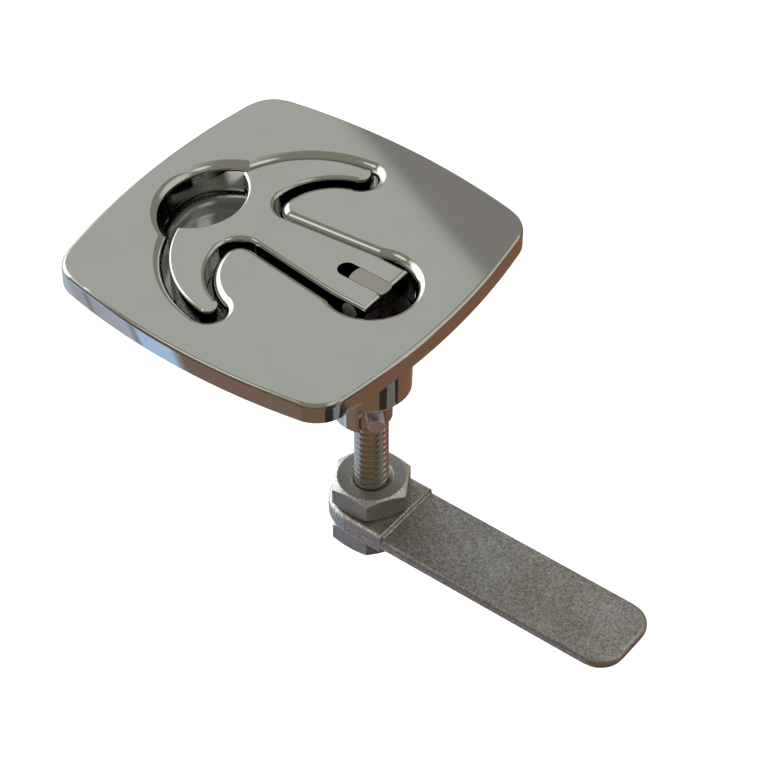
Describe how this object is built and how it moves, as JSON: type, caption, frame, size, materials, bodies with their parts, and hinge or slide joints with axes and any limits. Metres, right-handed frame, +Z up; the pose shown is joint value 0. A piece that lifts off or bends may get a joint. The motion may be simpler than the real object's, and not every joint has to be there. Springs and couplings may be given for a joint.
{
  "type": "boat hatch latch",
  "caption": "Flush hatch latch: an anchor-shaped lift handle in a recessed square flange works a sprung spindle with a cam arm clamped between nuts below.",
  "frame": {"origin": "middle of the flange's underside, on the plane that seats on the hatch", "axes": "+Z up through the flange to the visible face, +X from the finger bowl to the spindle, +Y across the handle"},
  "size_m": [0.1352, 0.0826, 0.08],
  "materials": {
    "polished_steel": "polished stainless",
    "pin_steel": "ground stainless",
    "spindle_steel": "polished stainless, rolled thread",
    "spring_wire": "bright drawn wire",
    "acetal": "satin",
    "nitrile": "satin",
    "cast_steel": "tumbled investment casting"
  },
  "bodies": {
    "latch": {"latch_body": "polished_steel", "heel_washer": "acetal", "return_spring": "spring_wire"},
    "spindle": {"spindle": "spindle_steel", "stop_pin": "pin_steel", "spring_seat": "pin_steel", "spindle_o_ring": "nitrile"},
    "handle": {"anchor_handle": "polished_steel", "pivot_pin": "pin_steel"},
    "nuts": {"upper_nut": "cast_steel", "lower_nut": "cast_steel"},
    "arm": {"cam_arm": "cast_steel"}
  },
  "joints": [
    {"name": "spindle_drop", "type": "slide", "parent": "latch", "child": "spindle", "axis": [0, 0, -1], "range_m": [0, 0.003], "deforming": ["return_spring"]},
    {"name": "handle_lift", "type": "hinge", "parent": "spindle", "child": "handle", "pos_m": [0.0212, 0, 0.0025], "axis": [0, 1, 0], "range_deg": [0, 90]},
    {"name": "arm_height", "type": "slide", "parent": "spindle", "child": "nuts", "axis": [0, 0, 1], "range_m": [0, 0.018]},
    {"name": "arm_swing", "type": "hinge", "parent": "nuts", "child": "arm", "pos_m": [0.0212, 0, -0.0639], "axis": [0, 0, 1], "range_deg": [0, 90]}
  ],
  "couplings": [
    {"joint": "spindle_drop", "follows": "handle_lift", "m_per_rad": 0.0019099}
  ]
}
